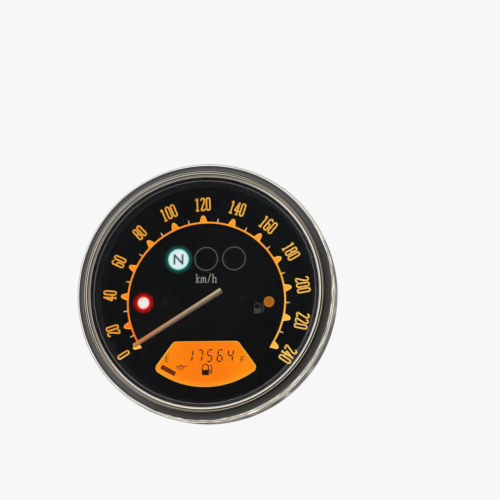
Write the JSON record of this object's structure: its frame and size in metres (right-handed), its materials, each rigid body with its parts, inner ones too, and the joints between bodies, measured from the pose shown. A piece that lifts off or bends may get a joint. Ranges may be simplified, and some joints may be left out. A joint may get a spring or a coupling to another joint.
{
  "type": "motorcycle instrument cluster",
  "caption": "Round motorcycle speedometer: chrome ring, black dial with orange scale, cream pointer, LCD odometer, telltale lamps, rear studs and socket.",
  "frame": {"origin": "centre of the three mounting studs at the plane of their boss seats, on the bezel's axis", "axes": "-Y is the way the dial faces, +Y runs out of the rear along the studs, +Z is 12 o'clock on the dial, +X is 3 o'clock"},
  "size_m": [0.12, 0.06, 0.12],
  "materials": {
    "chrome": "mirror polished, convex",
    "clear_glass": "clear, flat, polished",
    "clear_film": "thin clear protective film",
    "clear_plastic": "clear moulded light guide",
    "black_rubber": "smooth",
    "black_plastic": "fine grain",
    "dial_black": "matte black printed sheet",
    "pointer_cream": "painted, lit",
    "hub_black": "gloss black",
    "neutral_green": "translucent, lit",
    "smoked_lens": "smoked, unlit",
    "warning_red": "translucent, lit",
    "fuel_amber": "translucent, dimly lit",
    "lcd_orange": "backlit display",
    "white_plastic": "reflective white",
    "board_green": "solder mask",
    "steel": "zinc plated",
    "tin": "tin plated",
    "can_aluminium": "drawn can",
    "core_iron": "stamped laminations",
    "copper": "enamelled winding",
    "magnet": "sintered",
    "acetal": "natural acetal gear",
    "membrane": "woven membrane"
  },
  "bodies": {
    "cluster": {"bezel_ring": "chrome", "lens": "clear_glass", "lens_gasket": "black_rubber", "front_housing": "black_plastic", "dial_shroud": "black_plastic", "dial_plate": "dial_black", "light_guide": "clear_plastic", "neutral_lamp_lens": "neutral_green", "dark_lamp_lenses": "smoked_lens", "warning_lamp_lens": "warning_red", "fuel_lamp_lens": "fuel_amber", "lcd_glass": "lcd_orange", "lcd_frame": "black_plastic", "lcd_diffuser": "white_plastic", "lcd_zebra_strips": "black_rubber", "light_box": "white_plastic", "main_board": "board_green", "board_screws": "steel", "indicator_leds": "white_plastic", "backlight_leds": "white_plastic", "microcontroller": "hub_black", "regulator": "hub_black", "capacitors": "can_aluminium", "board_resistors": "hub_black", "motor_case_front": "black_plastic", "motor_case_rear": "black_plastic", "stator_core": "core_iron", "motor_coils": "copper", "motor_pins": "tin", "rear_case": "black_plastic", "case_seal": "black_rubber", "case_screws": "steel", "mount_studs": "steel", "connector_shell": "black_plastic", "connector_pins": "tin", "breather_vent": "hub_black", "vent_membrane": "membrane", "button_seal": "black_rubber", "button_switch": "hub_black"},
    "pointer_group": {"pointer_shaft": "acetal", "pointer_hub": "hub_black", "pointer": "pointer_cream"},
    "gear_group": {"intermediate_gear": "acetal"},
    "rotor_group": {"rotor_magnet": "magnet", "rotor_pinion": "acetal"},
    "button_group": {"mode_button": "black_rubber", "switch_plunger": "hub_black"},
    "film_inner_group": {"protector_film_inner": "clear_film"},
    "film_outer_group": {"protector_film_outer": "clear_film"}
  },
  "joints": [
    {"name": "pointer_turn", "type": "hinge", "parent": "cluster", "child": "pointer_group", "pos_m": [0, -0.038, -0.0039], "axis": [0, 1, 0], "range_deg": [0, 245]},
    {"name": "gear_turn", "type": "hinge", "parent": "cluster", "child": "gear_group", "pos_m": [0.0045, -0.02, -0.01169], "axis": [0, 1, 0], "range_deg": [-1226, 1]},
    {"name": "rotor_turn", "type": "hinge", "parent": "cluster", "child": "rotor_group", "pos_m": [-0.0045, -0.02, -0.01169], "axis": [0, 1, 0], "range_deg": [-1, 6126]},
    {"name": "mode_button_press", "type": "slide", "parent": "cluster", "child": "button_group", "axis": [0, -1, 0], "range_m": [0, 0.0012], "stiffness_N_per_m": 400, "springref_m": -0.001},
    {"name": "film_inner_lift", "type": "slide", "parent": "cluster", "child": "film_inner_group", "axis": [0.5092, -0.828, 0.2346], "range_m": [0, 0.0725]},
    {"name": "film_outer_lift", "type": "slide", "parent": "film_inner_group", "child": "film_outer_group", "axis": [0.4048, -0.8137, 0.417], "range_m": [0, 0.0492]}
  ],
  "couplings": [
    {"joint": "gear_turn", "follows": "pointer_turn", "ratio": -5},
    {"joint": "rotor_turn", "follows": "pointer_turn", "ratio": 25}
  ]
}
